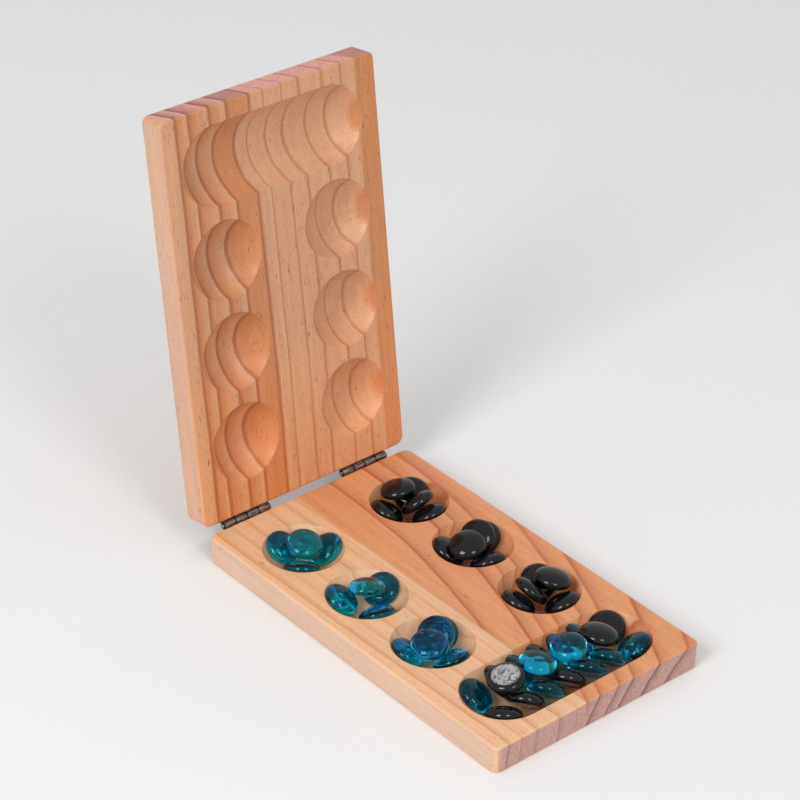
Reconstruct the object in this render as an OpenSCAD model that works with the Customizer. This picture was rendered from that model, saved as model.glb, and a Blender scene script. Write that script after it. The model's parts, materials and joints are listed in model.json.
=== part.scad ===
/* [Board] */
// Width of each half, along the hinge line
board_w = 125; // [120:1:140]
// Length of each half, square to the hinge line
half_l = 207; // [205:1:220]
// Thickness of each half
half_t = 14; // [13.5:0.5:18]
// Radius of the corners beside the hinges, seen from above
hinge_corner_r = 4.5; // [3:0.5:6]
// Radius of the corners at the store end, seen from above
store_corner_r = 3.5; // [3:0.5:6]
// Size of the bevel along the long edges and the ends
arris = 1; // [0.5:0.1:1.5]
// Place of the glue line across the base's width, from its middle
glue_x = -8.8; // [-11:0.1:11]

/* [Pits] */
// Depth of every bowl
bowl_depth = 11; // [10:0.25:11]
// Radius of a round pit at its rim
pit_r = 19.75; // [19:0.25:20]
// Distance of each row of pits from the middle of the board
pit_x = 33; // [33:0.5:36]
// Distance of the first pits from the hinge edge
first_pit = 36.5; // [34:0.5:40]
// Spacing of the pits along a row
pit_pitch = 47.2; // [46:0.1:48]
// Half the width of the long store, and the radius of its ends
store_r = 20; // [19:0.25:20]
// Distance of each end's centre from the store's middle
store_reach = 32.5; // [30:0.5:34]
// Distance of the store's centre line from the hinge edge
store_y = 178; // [178:0.5:180]

/* [Hinges] */
// Middle of the left hinge, across the board
left_hinge_x = -38; // [-44:0.5:-34]
// Middle of the right hinge, across the board
right_hinge_x = 35.5; // [34:0.5:44]
// Length of one knuckle
knuckle_l = 7; // [6:0.25:8]
// Outer radius of the rolled barrel
barrel_r = 1.8; // [1.8:0.05:1.9]
// Radius of the hinge pin
pin_r = 0.9; // [0.8:0.05:0.9]
// Thickness of a leaf
leaf_t = 0.9; // [0.7:0.05:0.9]
// Height of a leaf on the end of the board, from the hinge axis
leaf_h = 12; // [11:0.5:12.5]
// Height of the hinge axis above the pit face
axis_up = 0.2; // [0.2:0.05:0.4]
// Angle between the two pit faces as the board stands open
open_angle = 98.2; // [90:0.1:180]

/* [Stones] */
// Radius of a stone
stone_r = 9; // [8.5:0.1:9]
// Height of the dome above a stone's widest plane
stone_dome = 4.3; // [4:0.1:4.3]
// Depth of the flatter underside below that plane
stone_base = 2.7; // [2.4:0.1:2.7]

/* [Hidden] */
$fn = 96;
KNUCKLES = 4;
axis_out = barrel_r;
axis_y = half_l / 2 + axis_out;
axis_z = half_t + axis_up;
knuckle_gap = 0.1;
pin_clearance = 0.05;
pin_overhang = 0.3;
barrel_clearance = 0.2;
screw_r = 1;
screw_head_r = 1.9;
screw_head_h = 0.9;
screw_sink = 0.05;
screw_l = 9;
screw_pitch = 16;
screw_drop = 7.5;
screw_clearance = 0.02;
wall_slope = 35.5;
wall_lift = 0.6;
row_slope = 30;
row_roll = 35;
row_lift = 3.5;
row_pitch = 12.5;
end_spread = 50;
heap_slot = 120;
overcut = 1;
hinge_xs = [left_hinge_x, right_hinge_x];
hinge_names = ["left", "right"];
hinge_l = KNUCKLES * knuckle_l;
STORE = 7;

// Radius of the ball that cuts a bowl with this radius at its rim
function ball_r(rim_r) = (rim_r * rim_r + bowl_depth * bowl_depth) / (2 * bowl_depth);

// Pits 1 to 3 run from the hinge down the left row, 4 to 6 down the right, and 7 is the store
function pit_at(n) = n == STORE
    ? [0, half_l / 2 - store_y]
    : [n <= 3 ? -pit_x : pit_x, half_l / 2 - first_pit - pit_pitch * ((n - 1) % 3)];

function rim_r(n) = n == STORE ? store_r : pit_r;

// Place and attitude of a stone whose rim rests on the wall of a bowl: x, y, z, direction, lean, roll
function lying(pit, along, turn, slope, roll, lift) =
    let (reach = ball_r(rim_r(pit)) - stone_base - lift)
    [
        along + reach * sin(slope) * cos(turn),
        reach * sin(slope) * sin(turn),
        ball_r(rim_r(pit)) - bowl_depth - reach * cos(slope),
        turn,
        -slope,
        roll
    ];

// Place and attitude of a stone that rides on others, out from the pit's middle
function riding(out, turn, z, lean) = [out * cos(turn), out * sin(turn), z, turn, lean, 0];

// Stones on top of a heap of four or of five: distance out, turn, height and lean
TOP_OF_FOUR = [[1, 40, 3, 18]];
TOP_OF_FIVE = [[5, 0, 0.5, -45], [7, 180, 3.5, 15]];

// The heap in a pit: three stones round the wall, then one or two on top
function heap(pit, count, spin) = concat(
    [for (k = [0 : 2]) lying(pit, 0, spin + heap_slot * k, wall_slope, 0, wall_lift)],
    [for (t = count == 4 ? TOP_OF_FOUR : TOP_OF_FIVE) riding(t[0], spin + t[1], t[2], t[3])]
);

// Heaps in the round pits: pit, colour, count, and the way the heap is turned
HEAPS = [
    [1, "teal", 4, 228],
    [2, "teal", 4, 15],
    [3, "teal", 5, 35],
    [4, "black", 5, 285],
    [5, "black", 5, 25],
    [6, "black", 5, 170]
];

// Rows along the two walls of the store, each stone leaning on the one before it
ROW_START = -27;
ROW_COUNT = 5;

function row(side) = [
    for (k = [0 : ROW_COUNT - 1])
        lying(STORE, ROW_START + row_pitch * k, 90 * side, row_slope, row_roll * side, row_lift)
];

// A pair of stones on the round wall at each end of the store
function end_pair(side) = [
    for (k = [-1 : 2 : 1])
        lying(STORE, store_reach * side, 90 * (1 - side) + end_spread * k, wall_slope, 0, wall_lift)
];

// Stones on top of the rows: distance along the store, height and lean
STORE_TOP = [[-31, 6.4, -12], [-12, 6.3, 10], [7, 6.3, -8], [26, 4.5, 12]];

STORE_HEAP = concat(
    end_pair(-1),
    row(1),
    row(-1),
    end_pair(1),
    [for (t = STORE_TOP) riding(t[0], 0, t[1], t[2])]
);

// Which stones of the store are teal, counted in that order
STORE_TEAL = [0, 3, 5, 6, 8, 10, 11, 12, 15, 16];

function colour_in_store(i) = len(search(i, STORE_TEAL)) > 0 ? "teal" : "black";

// Every stone: colour, pit, and its place and attitude
STONES = concat(
    [for (h = HEAPS) each [for (place = heap(h[0], h[2], h[3])) [h[1], h[0], place]]],
    [for (i = [0 : len(STORE_HEAP) - 1]) [colour_in_store(i), STORE, STORE_HEAP[i]]]
);

function two_digits(n) = n < 10 ? str("0", n) : str(n);

// A stone's number counts the stones of its own colour before it in the list
function number_of(i) = 1 + len([for (k = [0 : i]) if (k < i && STONES[k][0] == STONES[i][0]) k]);

function stone_name(i) = str(STONES[i][0], "_stone_", two_digits(number_of(i)));

// Carries a shape drawn for the closed lid round to where the lid stands open
module swung_open() {
    translate([0, axis_y, axis_z])
        rotate([-open_angle, 0, 0])
            translate([0, -axis_y, -axis_z])
                children();
}

// Mirrors a shape of the base into the closed lid, across the plane of the hinge axis
module mirrored_up() {
    translate([0, 0, 2 * axis_z])
        mirror([0, 0, 1])
            children();
}

// The plan of one half, with its hinge edge towards +Y
module half_plan() {
    difference() {
        square([board_w, half_l], center = true);
        for (side = [-1, 1]) {
            translate([side * board_w / 2, half_l / 2])
                corner_waste(hinge_corner_r, side, 1);
            translate([side * board_w / 2, -half_l / 2])
                corner_waste(store_corner_r, side, -1);
        }
    }
}

// What is cut from a square corner to leave it round
module corner_waste(r, side_x, side_y) {
    difference() {
        square([2 * r, 2 * r], center = true);
        translate([-side_x * r, -side_y * r])
            circle(r);
    }
}

// An upright section with bevelled corners
module bevelled(w) {
    polygon([
        [-w / 2 + arris, 0],
        [w / 2 - arris, 0],
        [w / 2, arris],
        [w / 2, half_t - arris],
        [w / 2 - arris, half_t],
        [-w / 2 + arris, half_t],
        [-w / 2, half_t - arris],
        [-w / 2, arris]
    ]);
}

// One half as a plain slab
module slab() {
    intersection() {
        linear_extrude(half_t)
            half_plan();
        translate([0, half_l / 2 + overcut, 0])
            rotate([90, 0, 0])
                linear_extrude(half_l + 2 * overcut)
                    bevelled(board_w);
        translate([-board_w / 2 - overcut, 0, 0])
            rotate([90, 0, 90])
                linear_extrude(board_w + 2 * overcut)
                    bevelled(half_l);
    }
}

// A round bowl, cut by a ball
module bowl(rim) {
    translate([0, 0, half_t + ball_r(rim) - bowl_depth])
        sphere(ball_r(rim));
}

// The long store, cut by the same ball moved along
module store_cut() {
    for (side = [-1, 1])
        translate([side * store_reach, 0, 0])
            bowl(store_r);
    translate([-store_reach, 0, half_t + ball_r(store_r) - bowl_depth])
        rotate([0, 90, 0])
            cylinder(r = ball_r(store_r), h = 2 * store_reach);
}

module all_cuts() {
    for (n = [1 : 6])
        translate([pit_at(n).x, pit_at(n).y, 0])
            bowl(pit_r);
    translate([0, pit_at(STORE).y, 0])
        store_cut();
    for (x = hinge_xs)
        translate([x, 0, 0])
            screw_places()
                screw_shape(screw_clearance);
}

// One half with its bowls and screw holes
module carved_half() {
    difference() {
        slab();
        all_cuts();
    }
}

// The two screws of a leaf, pointing in from the hinge edge; drawn along +Z
module screw_places() {
    for (side = [-1, 1])
        translate([side * screw_pitch / 2, half_l / 2 + leaf_t - screw_sink, axis_z - screw_drop])
            rotate([90, 0, 0])
                children();
}

// A countersunk screw with its head at the origin and its point at +Z
module screw_shape(grown) {
    rotate_extrude()
        polygon([
            [0, 0],
            [screw_head_r + grown, 0],
            [screw_r + grown, screw_head_h],
            [screw_r + grown, screw_l - screw_r],
            [0, screw_l + grown]
        ]);
}

// The round blank for one knuckle, counted from the left end of the barrel
module knuckle_blank(k, r, gap) {
    translate([-hinge_l / 2 + k * knuckle_l + gap, axis_y, axis_z])
        rotate([0, 90, 0])
            cylinder(r = r, h = knuckle_l - 2 * gap);
}

// One leaf with its two knuckles, for the base; first is the knuckle at its left end
module leaf(first) {
    own = [for (k = [first : 2 : KNUCKLES - 1]) k];
    other = [for (k = [1 - first : 2 : KNUCKLES - 1]) k];
    difference() {
        union() {
            translate([-hinge_l / 2, half_l / 2, axis_z - leaf_h])
                cube([hinge_l, leaf_t, leaf_h]);
            for (k = own)
                knuckle_blank(k, barrel_r, knuckle_gap / 2);
        }
        for (k = other)
            knuckle_blank(k, barrel_r + barrel_clearance, -knuckle_gap / 2);
        translate([-hinge_l / 2 - overcut, axis_y, axis_z])
            rotate([0, 90, 0])
                cylinder(r = pin_r + pin_clearance, h = hinge_l + 2 * overcut);
        screw_places()
            screw_shape(screw_clearance);
    }
}

module base_stave(low_x, high_x) {
    intersection() {
        carved_half();
        translate([low_x, -half_l / 2 - overcut, -overcut])
            cube([high_x - low_x, half_l + 2 * overcut, half_t + 2 * overcut]);
    }
}

module base_stave_left() {
    color("burlywood")
        base_stave(-board_w / 2 - overcut, glue_x);
}

module base_stave_right() {
    color("sandybrown")
        base_stave(glue_x, board_w / 2 + overcut);
}

module lid_panel() {
    color("tan")
        swung_open()
            mirrored_up()
                carved_half();
}

module hinge_base_leaf(x) {
    color("rosybrown")
        translate([x, 0, 0])
            leaf(0);
}

module hinge_lid_leaf(x) {
    color("gray")
        swung_open()
            mirrored_up()
                translate([x, 0, 0])
                    leaf(1);
}

module hinge_pin(x) {
    color("dimgray")
        translate([x - hinge_l / 2 - pin_overhang, axis_y, axis_z])
            rotate([0, 90, 0])
                cylinder(r = pin_r, h = hinge_l + 2 * pin_overhang);
}

module screws() {
    for (x = hinge_xs)
        translate([x, 0, 0])
            screw_places()
                screw_shape(0);
}

module base_screws() {
    color("dimgray")
        screws();
}

module lid_screws() {
    color("dimgray")
        swung_open()
            mirrored_up()
                screws();
}

// Half of a stone's outline: a round dome above the widest plane, a flatter underside below
STEPS = 7;
function dome_point(t) = [stone_r * cos(t), stone_dome * sin(t)];
function base_point(t) = [stone_r * pow(cos(t), 2 / 3), -stone_base * pow(sin(t), 2 / 3)];
stone_outline = concat(
    [[0, -stone_base]],
    [for (k = [STEPS - 1 : -1 : 1]) base_point(90 * k / STEPS)],
    [for (k = [0 : STEPS - 1]) dome_point(90 * k / STEPS)],
    [[0, stone_dome]]
);

module stone(i) {
    at = STONES[i][2];
    pit = pit_at(STONES[i][1]);
    color(STONES[i][0] == "teal" ? "teal" : "black")
        translate([pit.x + at[0], pit.y + at[1], half_t + at[2]])
            rotate([0, 0, at[3]])
                rotate([0, at[4], 0])
                    rotate([at[5], 0, 0])
                        rotate_extrude($fn = 48)
                            polygon(stone_outline);
}

base_stave_left();
base_stave_right();
lid_panel();
for (h = [0 : len(hinge_names) - 1]) {
    hinge_base_leaf(hinge_xs[h]);
    hinge_lid_leaf(hinge_xs[h]);
    hinge_pin(hinge_xs[h]);
}
base_screws();
lid_screws();
for (i = [0 : len(STONES) - 1]) stone(i);
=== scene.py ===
import json
import math

import bmesh
import bpy
import numpy as np
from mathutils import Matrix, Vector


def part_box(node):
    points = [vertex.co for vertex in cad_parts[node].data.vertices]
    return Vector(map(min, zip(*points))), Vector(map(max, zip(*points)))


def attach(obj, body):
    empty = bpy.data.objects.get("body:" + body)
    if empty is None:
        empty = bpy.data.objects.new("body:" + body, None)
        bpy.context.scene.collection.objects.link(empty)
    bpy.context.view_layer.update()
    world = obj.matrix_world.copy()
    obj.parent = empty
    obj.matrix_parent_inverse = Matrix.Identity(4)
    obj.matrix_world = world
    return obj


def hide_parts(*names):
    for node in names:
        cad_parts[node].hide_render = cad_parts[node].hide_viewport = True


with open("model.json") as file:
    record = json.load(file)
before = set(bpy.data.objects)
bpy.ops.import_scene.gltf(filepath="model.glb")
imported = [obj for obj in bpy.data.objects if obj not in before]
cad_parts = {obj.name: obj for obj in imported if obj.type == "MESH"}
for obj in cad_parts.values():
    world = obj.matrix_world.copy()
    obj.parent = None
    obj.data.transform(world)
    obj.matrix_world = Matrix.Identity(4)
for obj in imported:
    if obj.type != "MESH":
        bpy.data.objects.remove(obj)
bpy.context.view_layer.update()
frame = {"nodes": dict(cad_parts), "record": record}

# ---------------------------------------------------------------------------
# The view and the light: a pale sweep of board with two soft boxes high in
# front, left and right, and a pale room round about.
# ---------------------------------------------------------------------------
scene = bpy.context.scene
scene.view_settings.view_transform = "Standard"
eye = np.array([-0.7277, -0.8000, 0.7948])
aim = np.array([0.0511, 0.0966, 0.0500])
camera_roll = 1.462
camera_lens_mm = 128.18
room_light = 0.66


def look_along(obj, start, end, roll=0.0):
    """Stand obj at start with its -Z axis towards end, level, then turned by roll degrees about it."""
    back = (start - end) / np.linalg.norm(start - end)
    right = np.cross([0.0, 0.0, 1.0], back)
    right /= np.linalg.norm(right)
    up = np.cross(back, right)
    c, s = math.cos(math.radians(roll)), math.sin(math.radians(roll))
    matrix = np.eye(4)
    matrix[:3, 0] = c * right + s * up
    matrix[:3, 1] = c * up - s * right
    matrix[:3, 2] = back
    matrix[:3, 3] = start
    obj.matrix_world = matrix.T.tolist()


camera_data = bpy.data.cameras.new("camera")
camera_data.sensor_width = 36.0
camera_data.lens = camera_lens_mm
camera_data.clip_end = 20.0
camera = bpy.data.objects.new("camera", camera_data)
scene.collection.objects.link(camera)
look_along(camera, eye, aim, roll=camera_roll)
scene.camera = camera

world = bpy.data.worlds.new("room")
world.use_nodes = True
world.node_tree.nodes["Background"].inputs["Color"].default_value = (1.0, 1.0, 1.0, 1.0)
world.node_tree.nodes["Background"].inputs["Strength"].default_value = room_light
scene.world = world


def soft_box(name, place, towards, width, height, watts):
    """A rectangular area light at place, facing towards."""
    data = bpy.data.lights.new(name, "AREA")
    data.shape = "RECTANGLE"
    data.size = width
    data.size_y = height
    data.energy = watts
    lamp = bpy.data.objects.new(name, data)
    scene.collection.objects.link(lamp)
    look_along(lamp, np.array(place), np.array(towards))


soft_box("soft_box_left", (-1.85, -0.35, 1.45), (0.0, 0.0, 0.05), 0.8, 1.0, 26.0)
soft_box("soft_box_right", (-0.30, -1.80, 1.65), (0.0, 0.0, 0.05), 0.7, 0.9, 12.5)


def node(tree, kind, **inputs):
    """A shader node of this kind. inputs are sockets to link or plain values, each under its input's
    name with _ for a space, or under n and its number, as in n0."""
    made = tree.nodes.new(kind)
    for name, value in inputs.items():
        numbered = name[0] == "n" and name[1:].isdigit()
        socket = made.inputs[int(name[1:]) if numbered else name.replace("_", " ")]
        if isinstance(value, bpy.types.NodeSocket):
            tree.links.new(value, socket)
        else:
            socket.default_value = value
    return made


def new_material(name):
    """A new material, its node tree and its Principled shader."""
    material = bpy.data.materials.new(name)
    material.use_nodes = True
    return material, material.node_tree, material.node_tree.nodes["Principled BSDF"]


floor_reach = 6.0
floor_mesh = bpy.data.meshes.new("floor")
floor_mesh.from_pydata(
    [(-floor_reach, -floor_reach, 0), (floor_reach, -floor_reach, 0),
     (floor_reach, floor_reach, 0), (-floor_reach, floor_reach, 0)], [], [(0, 1, 2, 3)])
floor = bpy.data.objects.new("floor", floor_mesh)
scene.collection.objects.link(floor)
floor_material, _, floor_shader = new_material("pale_floor")
floor_shader.inputs["Base Color"].default_value = (0.80, 0.80, 0.80, 1.0)
floor_shader.inputs["Roughness"].default_value = 0.9
floor_shader.inputs["Specular IOR Level"].default_value = 0.1
floor_mesh.materials.append(floor_material)

# ---------------------------------------------------------------------------
# The two halves: boards of pine, 14 mm thick, with six round bowls and one
# long store routed into one face, every edge rounded over and sanded, under a
# satin varnish. The base is glued up from two staves.
# ---------------------------------------------------------------------------
MM = 0.001
half_w, half_l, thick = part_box("base_stave_right")[1]
glue_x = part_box("base_stave_left")[1][0]
hinge_end_corner = 4.5 * MM
store_end_corner = 3.5 * MM
round_over = 1.3 * MM
rim_round = 0.5 * MM
hold = 0.25 * MM
pit_radius = 19.75 * MM
store_radius = 20 * MM
bowl_depth = 11 * MM
pit_x = 33 * MM
first_pit, pit_spacing = 36.5 * MM, 47.2 * MM
pit_ys = [half_l - (first_pit + pit_spacing * k) for k in range(3)]
store_y = half_l - 178 * MM
store_reach = 32.5 * MM
# How finely the grids are drawn, and how near two points or planes count as one
ball_rows, rim_rows = 26, 7
round_columns = 144
end_columns = 61
run_columns, cut_run_columns = 45, 31
corner_points = 10
edge_rows = 8
same_point = 1e-6
same_plane = 1e-7
sharp_angle = math.radians(40)


def bowl_rows(radius):
    """Radius and height of the rows of a bowl, from its middle out to the flat face: the floor is
    part of a ball, its rim is rounded by a small circle that touches both the ball and the face."""
    ball = (radius ** 2 + bowl_depth ** 2) / (2 * bowl_depth)
    centre_z = ball - bowl_depth
    # The small circle's centre lies rim_round below the face and rim_round outside the ball
    small_z = -rim_round
    small_r = math.sqrt((ball + rim_round) ** 2 - (centre_z - small_z) ** 2)
    touch = math.atan2(small_r, centre_z - small_z)
    turn = np.linspace(0, touch, ball_rows)
    r_ball, z_ball = ball * np.sin(turn), centre_z - ball * np.cos(turn)
    arc = np.linspace(touch, 0, rim_rows)[1:]
    r_rim, z_rim = small_r - rim_round * np.sin(arc), small_z + rim_round * np.cos(arc)
    return np.concatenate([r_ball, r_rim]), np.concatenate([z_ball, z_rim])


def grid_faces(rows, columns, closed):
    """Quads between neighbouring rows and columns of a grid, going round if closed."""
    r, c = np.meshgrid(np.arange(rows - 1), np.arange(columns if closed else columns - 1), indexing="ij")
    n = (c + 1) % columns
    quads = np.stack([r * columns + c, (r + 1) * columns + c, (r + 1) * columns + n, r * columns + n], -1)
    return quads.reshape(-1, 4)


def bowl_grid(sx, sy, turn, radius):
    """One bowl: each column starts on the spine point (sx, sy), runs up the bowl in the direction
    turn, over the rim and a hair's breadth out on the flat face."""
    r_rows, z_rows = bowl_rows(radius)
    r_rows, z_rows = np.append(r_rows, r_rows[-1] + hold)[:, None], np.append(z_rows, 0.0)[:, None]
    x, y = sx + r_rows * np.cos(turn), sy + r_rows * np.sin(turn)
    return np.stack([x, y, thick + z_rows + 0 * x], axis=-1)


def store_spine(cut, side):
    """Spine points and directions of the long store: along one side, round the end, back along the
    other. With cut, only the part on one side of x = cut."""
    bend = np.linspace(0, np.pi, end_columns)[1:-1]
    if cut is None:
        run = np.linspace(-store_reach, store_reach, run_columns)
        sx = np.concatenate([run[::-1], 0 * bend - store_reach, run, 0 * bend + store_reach])
        turn = np.concatenate([0 * run, bend, 0 * run + np.pi, np.pi + bend]) + np.pi / 2
        return sx, turn
    run = np.linspace(cut, side * store_reach, cut_run_columns)
    start = -side * np.pi / 2
    sx = np.concatenate([run, 0 * bend + side * store_reach, run[::-1]])
    turn = np.concatenate([0 * run + start, start + bend, 0 * run + start + np.pi])
    return sx, turn


def outline(cut, side):
    """Points and outward directions round a half seen from above, anticlockwise: a quarter circle at
    each corner. With cut, only the part on one side of x = cut, starting and ending on that line."""
    corners = [(1, 1, hinge_end_corner), (-1, 1, hinge_end_corner),
               (-1, -1, store_end_corner), (1, -1, store_end_corner)]
    quarter = np.linspace(0, np.pi / 2, corner_points)
    points, outward = [], []
    for k in {None: (0, 1, 2, 3), -1: (1, 2), 1: (3, 0)}[side]:
        end_x, end_y, corner = corners[k]
        way = np.stack([np.cos(quarter + k * np.pi / 2), np.sin(quarter + k * np.pi / 2)], axis=1)
        points.append(np.array([end_x * (half_w - corner), end_y * (half_l - corner)]) + corner * way)
        outward.append(way)
    if side is not None:
        points = [[(cut, -side * half_l)]] + points + [[(cut, side * half_l)]]
        outward = [[(0.0, -side)]] + outward + [[(0.0, side)]]
    return np.concatenate(points), np.concatenate(outward)


def edge_grid(cut, side):
    """The edge of a board: the outline carried over the upper round, down the side and under the
    lower round, each row drawn in from the outline by its inset."""
    arc = np.linspace(0, np.pi / 2, edge_rows)
    inset = np.concatenate([[round_over + hold], round_over * (1 - np.sin(arc)), [0, 0],
                            round_over * (1 - np.cos(arc)), [round_over + hold]])
    drop = np.concatenate([[0], round_over * (1 - np.cos(arc)), [round_over + hold],
                           [thick - round_over - hold], thick - round_over * (1 - np.sin(arc)), [thick]])
    points, outward = outline(cut, side)
    flat = points[None] - inset[:, None, None] * outward[None]
    return np.concatenate([flat, np.repeat(thick - drop[:, None], len(points), axis=1)[..., None]], axis=-1)


def board_mesh(name, cut=None, side=None):
    """A whole half, or its part on one side of the glue line x = cut: bowls and edge are grids, welded
    by flat fills of the face, the underside and the glued face."""
    grids = []
    turn = np.linspace(0, 2 * np.pi, round_columns, endpoint=False)
    for cx in (-pit_x, pit_x):
        if side in (None, np.sign(cx)):
            grids += [(bowl_grid(cx, cy, turn, pit_radius), True) for cy in pit_ys]
    sx, turn = store_spine(cut, side)
    grids.append((bowl_grid(sx, store_y, turn, store_radius), side is None))
    grids.append((edge_grid(cut, side), side is None))
    points, faces, count = [], [], 0
    for grid, closed in grids:
        points.append(grid.reshape(-1, 3))
        faces += (count + grid_faces(grid.shape[0], grid.shape[1], closed)).tolist()
        count += grid.shape[0] * grid.shape[1]
    faces.append(list(range(count - grid.shape[1], count)))
    mesh = bpy.data.meshes.new(name)
    mesh.from_pydata(np.concatenate(points).tolist(), [], faces)
    shape = bmesh.new()
    shape.from_mesh(mesh)
    bmesh.ops.remove_doubles(shape, verts=shape.verts, dist=same_point)
    if side is not None:
        # The face's two straight edges on the glue line, from the ends to the store's rim
        line = [v for v in shape.verts if abs(v.co.x - cut) < same_plane and v.co.z > thick - same_plane]
        line.sort(key=lambda v: v.co.y)
        shape.edges.new((line[1], line[2]))
        shape.edges.new((line[5], line[6]))
    loose = [e for e in shape.edges if e.is_boundary or e.is_wire]
    top = [e for e in loose if min(v.co.z for v in e.verts) > thick - same_plane]
    if side is not None:
        top = [e for e in top if e.is_wire or max(abs(v.co.x - cut) for v in e.verts) > same_plane]
    bmesh.ops.triangle_fill(shape, use_beauty=True, edges=top, normal=(0, 0, 1))
    if side is not None:
        glued = [e for e in shape.edges if e.is_boundary]
        bmesh.ops.triangle_fill(shape, use_beauty=True, edges=glued, normal=(1, 0, 0))
    bmesh.ops.recalc_face_normals(shape, faces=shape.faces)
    shape.to_mesh(mesh)
    shape.free()
    mesh.shade_smooth()
    mesh.set_sharp_from_angle(angle=sharp_angle)
    return mesh


# How far the rings wander, how dark and light the fibres run, and the varnish over them
sway_mm, ripple_mm = 4.0, 1.7
fibre_tones, band_tones, cloud_tones = (0.91, 1.07), (0.94, 1.05), (0.97, 1.03)
end_grain_tones = (0.80, 1.12)
# Painted orange bounce light from the base on a face: where it starts and where it is full, in mm from the
# hinge
painted_bounce_from_mm, painted_bounce_full_mm = 100.0, 20.0
pore_tint = (0.50, 0.28, 0.18, 1)
varnish_roughness = (0.34, 0.44)
end_grain = ((0.55, 0.315, 0.270, 1), (0.17, 0.048, 0.045, 1))


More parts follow.
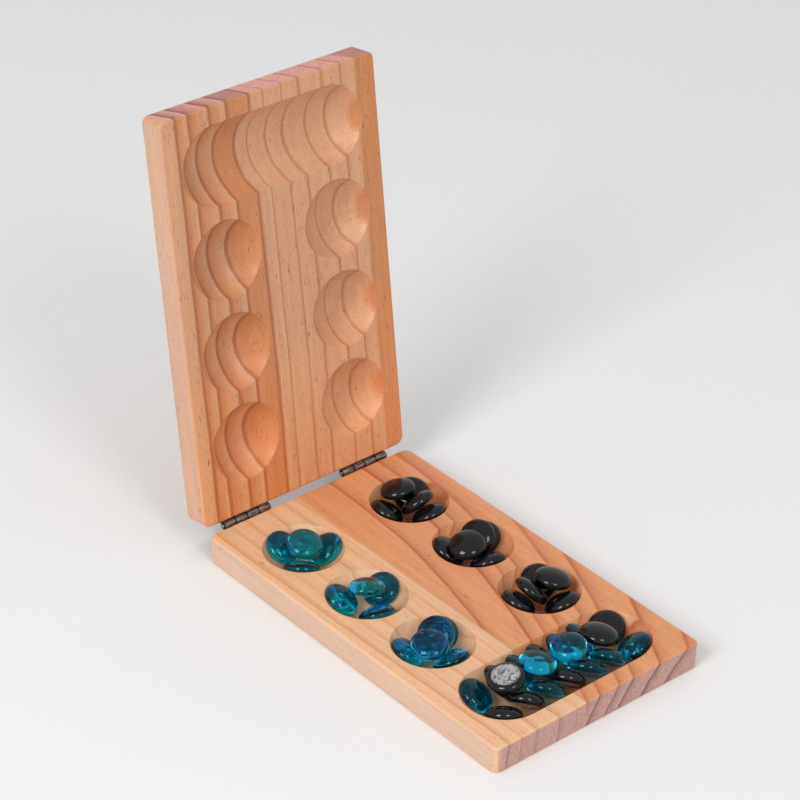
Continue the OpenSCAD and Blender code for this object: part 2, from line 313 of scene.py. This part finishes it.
def wood(name, rings, pith, taper, turn, tones, side,
         painted_bounce=(1, 1, 1, 1), pores=0.45, ends=end_grain):
    """Varnished pine as a solid: growth rings are shells round a pith line beside the board, so face,
    bowls and end grain agree. rings lists (distance from the pith in mm, colour), and the distance is
    sqrt(dx^2 + dz^2) - taper s^2, s mm from the hinge; pith is the line's place across and below the
    face in mm; turn carries the pattern from the board's own frame (x across, y along, z up) to where
    the board stands; tones are the greens of plain wood and of a full line, side the long edge's colour,
    ends the end grain's plain colour and its lines'."""
    material, tree, shader = new_material(name)
    place = node(tree, "ShaderNodeTexCoord").outputs["Object"]
    if turn is not None:
        place = node(tree, "ShaderNodeMapping", Vector=place, Location=turn[1], Rotation=turn[0],
                     Scale=(1, 1, -1)).outputs[0]
    in_mm = node(tree, "ShaderNodeVectorMath", n0=place, n1=(1000, 1000, 1000))
    in_mm.operation = "MULTIPLY"
    split = node(tree, "ShaderNodeSeparateXYZ", Vector=in_mm.outputs[0])
    across, along, up = split.outputs

    def maths(kind, a, b=0.0, c=0.0):
        """One Math node's result."""
        made = node(tree, "ShaderNodeMath", n0=a, n1=b, n2=c)
        made.operation = kind
        return made.outputs[0]

    def noise(scale, detail, stretch, rough=0.5):
        """Smooth noise on the board, its cells drawn out along the grain."""
        shaped = node(tree, "ShaderNodeVectorMath", n0=in_mm.outputs[0], n1=stretch)
        shaped.operation = "MULTIPLY"
        made = node(tree, "ShaderNodeTexNoise", Vector=shaped.outputs[0], Scale=scale, Detail=detail,
                    Roughness=rough)
        return made.outputs["Fac"]

    from_hinge = maths("SUBTRACT", half_l * 1000, along)
    sway = maths("MULTIPLY", maths("SUBTRACT", noise(0.022, 1.0, (1, 0.35, 1)), 0.5), sway_mm)
    ripple = maths("MULTIPLY", maths("SUBTRACT", noise(0.16, 2.0, (1, 0.10, 1)), 0.5), ripple_mm)
    x = maths("ADD", across, maths("ADD", sway, ripple))
    dx = maths("SUBTRACT", pith[0], x)
    dz = maths("ADD", maths("SUBTRACT", up, thick * 1000), pith[1])
    radius = maths("SQRT", maths("ADD", maths("MULTIPLY", dx, dx), maths("MULTIPLY", dz, dz)))
    ring = maths("SUBTRACT", radius, maths("MULTIPLY", maths("MULTIPLY", from_hinge, from_hinge), taper))
    low, high = rings[0][0], rings[-1][0]
    share = maths("DIVIDE", maths("SUBTRACT", ring, low), high - low)
    ramp = node(tree, "ShaderNodeValToRGB", Fac=share)
    stops = ramp.color_ramp.elements
    stops[0].position, stops[0].color = 0.0, (*rings[0][1], 1)
    stops[1].position, stops[1].color = 1.0, (*rings[-1][1], 1)
    for distance, colour in rings[1:-1]:
        stop = stops.new((distance - low) / (high - low))
        stop.color = (*colour, 1)
    colour = ramp.outputs["Color"]

    def mix(kind, amount, a, b):
        """One colour Mix node's result."""
        made = tree.nodes.new("ShaderNodeMix")
        made.data_type = "RGBA"
        made.blend_type = kind
        for socket, value in ((made.inputs[0], amount), (made.inputs[6], a), (made.inputs[7], b)):
            if isinstance(value, bpy.types.NodeSocket):
                tree.links.new(value, socket)
            else:
                socket.default_value = value
        return made.outputs[2]

    def spread(value, a, b, c, d):
        """value carried from the range a to b to the range c to d, held at its ends."""
        made = node(tree, "ShaderNodeMapRange", Value=value, n1=a, n2=b, n3=c, n4=d)
        return made.outputs[0]

    # Fibres: fine streaks along the grain, with broader bands under them
    fine = noise(2.6, 3.0, (1, 0.025, 1), 0.6)
    broad = noise(0.30, 2.0, (1, 0.03, 1))
    cloud = noise(0.035, 2.0, (1, 0.6, 1))
    light = maths("MULTIPLY", spread(fine, 0.3, 0.7, *fibre_tones),
                  maths("MULTIPLY", spread(broad, 0.3, 0.7, *band_tones),
                        spread(cloud, 0.3, 0.7, *cloud_tones)))
    tone = node(tree, "ShaderNodeCombineColor", Red=light, Green=light, Blue=light).outputs[0]
    # Painted light: towards the hinge the face takes painted orange bounce light from the base, and painted
    # shade; end grain and long edges have tones of their own
    green = node(tree, "ShaderNodeSeparateColor", Color=colour).outputs[1]
    line = spread(green, tones[0], tones[1], 0.0, 1.0)
    colour = mix("MULTIPLY", spread(from_hinge, painted_bounce_from_mm, painted_bounce_full_mm, 0.0, 1.0), colour, painted_bounce)
    facing = node(tree, "ShaderNodeTexCoord").outputs["Normal"]
    if turn is not None:
        facing = node(tree, "ShaderNodeMapping", Vector=facing, Rotation=turn[0],
                      Scale=(1, 1, -1)).outputs[0]
    sideways, lengthwise, _ = node(tree, "ShaderNodeSeparateXYZ", Vector=facing).outputs
    flank = spread(maths("ABSOLUTE", sideways), 0.80, 1.0, 0.0, 0.8)
    colour = mix("MIX", flank, colour, (*side, 1))
    cut_across = spread(maths("ABSOLUTE", lengthwise), 0.80, 1.0, 0.0, 1.0)
    speckle = spread(noise(1.3, 3.0, (1, 0.02, 0.45), 0.7), 0.35, 0.65, *end_grain_tones)
    mottle = node(tree, "ShaderNodeCombineColor", Red=speckle, Green=speckle, Blue=speckle).outputs[0]
    end_tone = mix("MULTIPLY", 1.0, mix("MIX", line, *ends), mottle)
    colour = mix("MIX", cut_across, colour, end_tone)
    colour = mix("MULTIPLY", 1.0, colour, tone)
    # Pores: short dark dashes along the grain
    dash = spread(noise(2.1, 0.0, (1, 0.12, 1)), 0.735, 0.79, 0.0, pores)
    colour = mix("MULTIPLY", dash, colour, pore_tint)
    tree.links.new(colour, shader.inputs["Base Color"])
    grain_height = maths("ADD", maths("MULTIPLY", fine, 0.5), maths("MULTIPLY", dash, -0.6))
    bump = node(tree, "ShaderNodeBump", Height=grain_height, Strength=0.25, Distance=0.00008)
    tree.links.new(bump.outputs[0], shader.inputs["Normal"])
    tree.links.new(spread(fine, 0.3, 0.7, *varnish_roughness), shader.inputs["Roughness"])
    shader.inputs["Specular IOR Level"].default_value = 0.42
    return material


# The last stretch before a ring line, and the width of its sharp outer side
soft_share, soft_mm, sharp_mm = 0.40, 1.3, 0.7


def banded(lines, plain, dark, width):
    """Ring colours, from the pith outwards: plain wood that deepens over width to each line, which ends
    sharply on its outer side. lines lists (distance, strength)."""
    stops = []
    for distance, strength in sorted(lines):
        deep = tuple(b + (d - b) * strength for b, d in zip(plain, dark))
        soft = tuple(b + (d - b) * strength * soft_share for b, d in zip(plain, dark))
        stops += [(distance - width, plain), (distance - soft_mm, soft), (distance, deep),
                  (distance + sharp_mm, plain)]
    return stops


pale, pale_line = (0.78, 0.462, 0.262), (0.66, 0.27, 0.095)
base_left_wood = wood(
    "pale_pine", banded([(210.9, 0.7), (217.9, 0.5), (227.9, 0.9), (241.8, 0.7),
                         (250.8, 0.5), (258.8, 0.9)], pale, pale_line, 3.5),
    pith=(200, 20), taper=-0.00005, turn=None, tones=(0.44, 0.12), side=(0.645, 0.435, 0.335))
amber, amber_line = (0.71, 0.303, 0.130), (0.43, 0.090, 0.028)
base_right_wood = wood(
    "orange_pine", banded([(48.2, 0.8), (59.7, 0.9), (71.4, 0.8), (78.4, 0.7), (88.5, 0.8), (95.4, 0.7),
                           (102.5, 1.0), (118.0, 0.9)], amber, amber_line, 5.0),
    pith=(106, 72), taper=0.00093, turn=None, tones=(0.305, 0.11), side=(0.66, 0.38, 0.22))


def put_in_place(name, mesh, material, node_name, body):
    """Puts a finished mesh into the scene in place of its CAD solid, riding on that solid's body."""
    mesh.materials.append(material)
    piece = bpy.data.objects.new(name, mesh)
    scene.collection.objects.link(piece)
    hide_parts(node_name)
    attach(piece, body)
    return piece


put_in_place("base_left_stave", board_mesh("base_left_stave", glue_x, -1),
             base_left_wood, "base_stave_left", "base")
put_in_place("base_right_stave", board_mesh("base_right_stave", glue_x, 1),
             base_right_wood, "base_stave_right", "base")

# ---------------------------------------------------------------------------
# The upper half: one striped board, the mirror of the base. It is drawn shut,
# face down on the base, then swung up about the hinge pins to where it stands.
# ---------------------------------------------------------------------------
fold = next(j for j in frame["record"]["behaviour"]["joints"] if j["name"] == "fold")
axis_y, axis_z = fold["pos_m"][1], fold["pos_m"][2]
opened = math.radians(-fold["range_deg"][0])


def swing_open(mesh):
    """Mirrors a mesh of the base across the hinge plane, then turns it up and back about the hinge line
    by opened: y' = c y + s z, z' = c z - s y. Its faces are turned outwards again."""
    points = np.empty(len(mesh.vertices) * 3)
    mesh.vertices.foreach_get("co", points)
    points = points.reshape(-1, 3)
    points[:, 2] = 2 * axis_z - points[:, 2]
    y, z = points[:, 1] - axis_y, points[:, 2] - axis_z
    c, s = math.cos(opened), math.sin(opened)
    swung = np.stack([points[:, 0], axis_y + c * y + s * z, axis_z - s * y + c * z], axis=1)
    mesh.vertices.foreach_set("co", swung.ravel())
    mesh.flip_normals()
    mesh.update()


cream, orange = (0.61, 0.312, 0.165), (0.55, 0.215, 0.081)
brown, rose = (0.37, 0.105, 0.038), (0.45, 0.165, 0.075)
lid_lines = [
    (170.3, orange), (172.0, cream), (177.6, cream), (179.0, rose), (179.6, cream),
    (187.8, cream), (189.3, rose), (190.0, cream), (200.4, cream), (202.0, rose), (202.8, cream),
    (210.4, cream), (211.4, rose), (212.0, cream), (221.2, cream), (222.0, rose), (222.6, cream),
    (227.8, cream), (229.6, brown), (230.6, orange), (239.8, orange), (241.5, brown), (242.4, cream),
    (249.2, orange), (251.2, brown), (252.4, cream), (260.6, orange), (262.7, brown), (263.7, cream),
    (268.4, orange), (270.2, brown), (271.2, cream)]
# Back from where the lid stands to its own flat frame: a mirror in z, then a turn about the hinge line
turn_c, turn_s = math.cos(-opened), math.sin(-opened)
turn_place = (0.0, axis_y - (turn_c * axis_y + turn_s * axis_z),
              axis_z - (turn_s * axis_y - turn_c * axis_z))
# Near the hinge the lid's face is multiplied towards orange: painted bounce light from the base, not a tone
# of the wood
lid_wood = wood(
    "striped_pine", lid_lines, pith=(206, 74), taper=0.00002, turn=((-opened, 0, 0), turn_place),
    tones=(0.312, 0.11), side=(0.60, 0.36, 0.245), painted_bounce=(1.24, 1.08, 0.92, 1), pores=0.7,
    ends=((0.72, 0.325, 0.255, 1), (0.24, 0.062, 0.055, 1)))
lid_mesh = board_mesh("lid_board")
swing_open(lid_mesh)
put_in_place("lid_board", lid_mesh, lid_wood, "lid_panel", "lid")

# ---------------------------------------------------------------------------
# Two small butt hinges of rolled steel strip, plated a dark bronze that has
# rubbed thin on the barrels. Each leaf lies on the end grain, in the gap
# between the halves, held by two countersunk screws; a plain pin joins them.
# ---------------------------------------------------------------------------
knuckle_length = 7 * MM
# Painted shade in the joints between knuckles: its darkest share, then its core and its reach either side
# of a joint
seam_shade, seam_core, seam_reach = 0.18, 0.2 * MM, 0.7 * MM
leaf_edge, pin_edge = 0.12 * MM, 0.2 * MM
leaf_plate, leaf_bare = (0.11, 0.088, 0.080), (0.40, 0.35, 0.33)
pin_plate, pin_bare = (0.22, 0.18, 0.15), (0.50, 0.45, 0.40)
leaf_rub, pin_rub = 0.14, 0.10


def two_tones(tree, amount, low, low_colour, high, high_colour):
    """A colour that runs from low_colour, up to where amount is low, to high_colour, from high on."""
    ramp = node(tree, "ShaderNodeValToRGB", Fac=amount)
    first, last = ramp.color_ramp.elements
    first.position, first.color = low, (*low_colour, 1)
    last.position, last.color = high, (*high_colour, 1)
    return ramp.outputs["Color"]


def plated_steel(name, plate, bare, rub, seam=None):
    """Bronze-plated steel: the plating mottled by noise and rubbed through in streaks along the barrel.
    seam is the x of one joint between knuckles; painted shade darkens every joint, a knuckle's length
    apart."""
    material, tree, shader = new_material(name)
    place = node(tree, "ShaderNodeTexCoord").outputs["Object"]
    streaks = node(tree, "ShaderNodeMapping", Vector=place, Scale=(160, 1300, 1300)).outputs[0]
    wear = node(tree, "ShaderNodeTexNoise", Vector=streaks, Scale=1.0, Detail=3.0, Roughness=0.6)
    cloud = node(tree, "ShaderNodeTexNoise", Vector=place, Scale=900.0, Detail=2.0)
    colour = two_tones(tree, wear.outputs["Fac"], 0.38, plate, 0.5 + rub, bare)
    if seam is not None:
        x = node(tree, "ShaderNodeSeparateXYZ", Vector=place).outputs[0]
        gap = node(tree, "ShaderNodeMath", n0=x, n1=seam)
        gap.operation = "SUBTRACT"
        fold_back = node(tree, "ShaderNodeMath", n0=gap.outputs[0], n1=knuckle_length / 2)
        fold_back.operation = "PINGPONG"
        # Painted shade: the colour is darkened near each joint between knuckles
        seam_shading = node(tree, "ShaderNodeMapRange", Value=fold_back.outputs[0], n1=seam_core, n2=seam_reach,
                     n3=seam_shade, n4=1.0).outputs[0]
        shade = node(tree, "ShaderNodeVectorMath", n0=colour, n1=seam_shading)
        shade.operation = "MULTIPLY"
        colour = shade.outputs[0]
    tree.links.new(colour, shader.inputs["Base Color"])
    rough = node(tree, "ShaderNodeMapRange", Value=cloud.outputs["Fac"], n1=0.3, n2=0.7, n3=0.30, n4=0.50)
    tree.links.new(rough.outputs[0], shader.inputs["Roughness"])
    bump = node(tree, "ShaderNodeBump", Height=wear.outputs["Fac"], Strength=0.2, Distance=0.00004)
    tree.links.new(bump.outputs[0], shader.inputs["Normal"])
    shader.inputs["Metallic"].default_value = 1.0
    return material


def finish_steel(node_name, width, metal, body):
    """Stands a copy of a CAD solid in its place, its loose triangles merged and its sharp edges rounded
    so that they catch the light."""
    mesh = frame["nodes"][node_name].data.copy()
    solid = bmesh.new()
    solid.from_mesh(mesh)
    bmesh.ops.remove_doubles(solid, verts=solid.verts, dist=same_point)
    solid.to_mesh(mesh)
    solid.free()
    mesh.materials.clear()
    mesh.shade_smooth()
    piece = put_in_place(node_name + "_eased", mesh, metal, node_name, body)
    bevel = piece.modifiers.new("eased_edges", "BEVEL")
    bevel.width = width
    bevel.segments = 2
    bevel.limit_method = "ANGLE"
    bevel.angle_limit = sharp_angle


pin_bronze = plated_steel("pin_steel", pin_plate, pin_bare, pin_rub)
for side in ("left", "right"):
    pin_ends = [corner[0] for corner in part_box(side + "_hinge_pin")]
    # A leaf's material has rubbed plating, and painted shade in its knuckle joints
    leaf_bronze = plated_steel(side + "_worn_bronze_seam_shaded", leaf_plate, leaf_bare, leaf_rub,
                               seam=sum(pin_ends) / 2)
    finish_steel(side + "_hinge_base_leaf", leaf_edge, leaf_bronze, "base")
    finish_steel(side + "_hinge_lid_leaf", leaf_edge, leaf_bronze, "lid")
    finish_steel(side + "_hinge_pin", pin_edge, pin_bronze, "base")

# ---------------------------------------------------------------------------
# Eight small countersunk wood screws of the same bronzed steel, two through
# each leaf, driven into the end grain until their heads are flush.
# ---------------------------------------------------------------------------
screw_edge = 0.08 * MM
screw_plate, screw_bare, screw_rub = (0.17, 0.13, 0.10), (0.45, 0.38, 0.32), 0.14
screw_bronze = plated_steel("screw_bronze", screw_plate, screw_bare, screw_rub)
for body in ("base", "lid"):
    finish_steel(body + "_screws", screw_edge, screw_bronze, body)

# ---------------------------------------------------------------------------
# The stones: flat drops of poured glass, 18 mm across, domed above and nearly
# flat below with a faintly wrinkled underside. Half are clear teal, half are
# opaque black.
# ---------------------------------------------------------------------------


def stone_frame(name):
    """Centre, dome direction and sizes of a CAD stone. Its axis is the one along which its volume is
    spread least, from the sum over its triangles of det / 120 times (S S' + sum of p p') with S the sum
    of the corners p; its dome is the side that stands further from its widest plane."""
    cad = frame["nodes"][name].data
    points = np.empty(len(cad.vertices) * 3)
    cad.vertices.foreach_get("co", points)
    points = points.reshape(-1, 3)
    start = points.mean(axis=0)
    corners = np.empty(len(cad.loops), dtype=np.int64)
    cad.loops.foreach_get("vertex_index", corners)
    tri = (points - start)[corners.reshape(-1, 3)]
    det = np.einsum("ij,ij->i", tri[:, 0], np.cross(tri[:, 1], tri[:, 2]))
    total = tri.sum(axis=1)
    centroid = (det[:, None] * total).sum(axis=0) / (4 * det.sum())
    spread = np.einsum("i,ij,ik->jk", det, total, total) + np.einsum("i,inj,ink->jk", det, tri, tri)
    spread = spread / (20 * det.sum()) - np.outer(centroid, centroid)
    axis = np.linalg.eigh(spread)[1][:, 0]
    out = points - start - centroid
    height = out @ axis
    wide = np.linalg.norm(out - height[:, None] * axis, axis=1)
    rim = height[wide > wide.max() - 0.02 * MM].mean()
    if height.max() - rim < rim - height.min():
        axis, height, rim = -axis, -height, -rim
    return start + centroid + rim * axis, axis, wide.max(), height.max() - rim, rim - height.min()


upside_down = "black_stone_22"
stone_columns = 56
# Unevenness as shares of a stone's own sizes: out of round, leaning dome, hollow creased underside
two_waves, three_waves, lean = 0.018, 0.010, 0.04
flat_from, flat_reach, hollow, crease_depth = 0.8, 0.82, 0.10, 0.05
turned_squash = 0.8
top_point = 0.004
# How far out the painted sheen reaches on the underside, and the width of its fading edge, as shares of the
# radius
sheen_radius, sheen_fade = 0.74, 0.05


def stone_mesh(name, seed):
    """A stone as rings of latitude: x = R cos(t)^p, z = dome sin(t) above and base sin(t)^(2/3) below,
    with the radius and the dome drawn slightly out of round by two slow waves, and small wrinkles below."""
    rng = np.random.default_rng(seed)
    centre, axis, radius, dome, base = stone_frame(name)
    if name == upside_down:
        # It lies on its dome, a little flattened, with its base upwards
        axis, dome, base = -axis, base, turned_squash * dome
    # Latitudes in degrees, from the middle of the underside to the top of the dome
    t = np.concatenate([np.linspace(-90, -60, 9), np.linspace(-52, 0, 11), np.linspace(8, 90, 13)])
    t = np.radians(t)
    a = np.linspace(0, 2 * np.pi, stone_columns, endpoint=False)
    tt, aa = np.meshgrid(t[1:-1], a, indexing="ij")
    below = tt < 0
    r = np.where(below, np.abs(np.cos(tt)) ** (2 / 3), np.cos(tt) ** 0.92)
    z = np.where(below, -base * np.abs(np.sin(tt)) ** (2 / 3), dome * np.sin(tt))
    w1, w2, w3 = rng.uniform(0, 2 * np.pi, 3)
    oval = 1 - two_waves * (1 + np.cos(2 * aa + w1)) / 2 - three_waves * (1 + np.cos(3 * aa + w2)) / 2
    r = r * radius * oval
    tilt = 1 - lean * (1 + np.cos(aa + w3) * np.cos(tt)) / 2
    z = z * np.where(below, 1.0, tilt)
    # The flat underside has cooled into a few shallow rings and creases
    inner = np.clip(1 - (r / (radius * flat_reach)) ** 2, 0, 1)
    crease = crease_depth * (np.cos(r / radius * 17 + w1) + np.cos(3 * aa + w2 + r / radius * 5))
    z = np.where(below & (np.abs(z) > base * flat_from), z + inner * (hollow + crease) * base, z)
    ring = np.stack([r * np.cos(aa), r * np.sin(aa), z], axis=-1).reshape(-1, 3)
    bottom = ring[:stone_columns].mean(axis=0) * [0, 0, 1]
    top = ring[-stone_columns:].mean(axis=0) * [0, 0, 1] + [0, 0, dome * top_point]
    points = np.concatenate([[bottom], ring, [top]])
    side = np.cross(axis, [0.0, 0.0, 1.0] if abs(axis[2]) < 0.9 else [1.0, 0.0, 0.0])
    side /= np.linalg.norm(side)
    spin = rng.uniform(0, 2 * np.pi)
    across = np.cross(axis, side)
    u = np.cos(spin) * side + np.sin(spin) * across
    v = np.cross(axis, u)
    points = centre + points @ np.stack([u, v, axis])
    rows = len(t) - 2
    quads = 1 + grid_faces(rows, stone_columns, True)[:, ::-1]
    k = np.arange(stone_columns)
    after = (k + 1) % stone_columns
    low = np.stack([0 * k, 1 + after, 1 + k], axis=1)
    last = 1 + (rows - 1) * stone_columns
    high = np.stack([0 * k + len(points) - 1, last + k, last + after], axis=1)
    mesh = bpy.data.meshes.new(name + "_glass")
    mesh.from_pydata(points.tolist(), [], quads.tolist() + low.tolist() + high.tolist())
    flat = mesh.attributes.new("underside", "FLOAT", "POINT")
    # Mask for the painted sheen of reflected light on the flat underside
    sheen_mask = np.clip((sheen_radius * radius - r) / (sheen_fade * radius), 0, 1) * below
    flat.data.foreach_set("value", np.concatenate([[1.0], sheen_mask.ravel(), [0.0]]))
    mesh.shade_smooth()
    return mesh


deep_teal, bright_teal = (0.0, 0.27, 0.47), (0.0, 0.53, 0.78)
teal_glint = (0.30, 0.75, 0.85, 1)
# Black glass, then the dull and bright grey of a painted sheen of reflected light on the creased underside
black, dull_sheen, bright_sheen = (0.004, 0.0045, 0.006, 1), (0.08, 0.08, 0.085), (0.42, 0.42, 0.43)
teal_glass_index, black_glass_index = 1.5, 1.42
fire_polish = 0.03


def teal_glass():
    """Clear teal glass with slow swirls of deeper colour, fire polished."""
    material, tree, shader = new_material("teal_glass")
    place = node(tree, "ShaderNodeTexCoord").outputs["Object"]
    swirl = node(tree, "ShaderNodeTexNoise", Vector=place, Scale=90.0, Detail=2.0, Distortion=1.5)
    colour = two_tones(tree, swirl.outputs["Fac"], 0.35, deep_teal, 0.7, bright_teal)
    tree.links.new(colour, shader.inputs["Base Color"])
    shader.inputs["Transmission Weight"].default_value = 1.0
    shader.inputs["IOR"].default_value = teal_glass_index
    shader.inputs["Specular Tint"].default_value = teal_glint
    shader.inputs["Roughness"].default_value = fire_polish
    return material


def black_glass():
    """Opaque black glass, glossy, with the faint unevenness of a poured skin."""
    material, tree, shader = new_material("black_glass")
    place = node(tree, "ShaderNodeTexCoord").outputs["Object"]
    skin = node(tree, "ShaderNodeTexNoise", Vector=place, Scale=260.0, Detail=2.0)
    bump = node(tree, "ShaderNodeBump", Height=skin.outputs["Fac"], Strength=0.08, Distance=0.0004)
    tree.links.new(bump.outputs[0], shader.inputs["Normal"])
    rough = node(tree, "ShaderNodeMapRange", Value=skin.outputs["Fac"], n1=0.3, n2=0.7, n3=0.04, n4=0.10)
    tree.links.new(rough.outputs[0], shader.inputs["Roughness"])
    # The underside, cast against a mould, is creased; its grey is a painted sheen of reflected light over
    # the creases
    sheen_mask = node(tree, "ShaderNodeAttribute")
    sheen_mask.attribute_name = "underside"
    creases = node(tree, "ShaderNodeTexNoise", Vector=place, Scale=420.0, Detail=4.0, Roughness=0.65,
                   Distortion=2.0)
    underside_sheen = two_tones(tree, creases.outputs["Fac"], 0.42, dull_sheen, 0.52, bright_sheen)
    mix = tree.nodes.new("ShaderNodeMix")
    mix.data_type = "RGBA"
    tree.links.new(sheen_mask.outputs["Fac"], mix.inputs[0])
    mix.inputs[6].default_value = black
    tree.links.new(underside_sheen, mix.inputs[7])
    tree.links.new(mix.outputs[2], shader.inputs["Base Color"])
    shader.inputs["IOR"].default_value = black_glass_index
    return material


glass = {"teal": teal_glass(), "black": black_glass()}
for body, names in frame["record"]["behaviour"]["bodies"].items():
    for name in names:
        if "_stone_" not in name:
            continue
        colour = name.split("_")[0]
        mesh = stone_mesh(name, seed=int(name[-2:]) + (100 if colour == "black" else 0))
        put_in_place(name + "_glass", mesh, glass[colour], name, body)
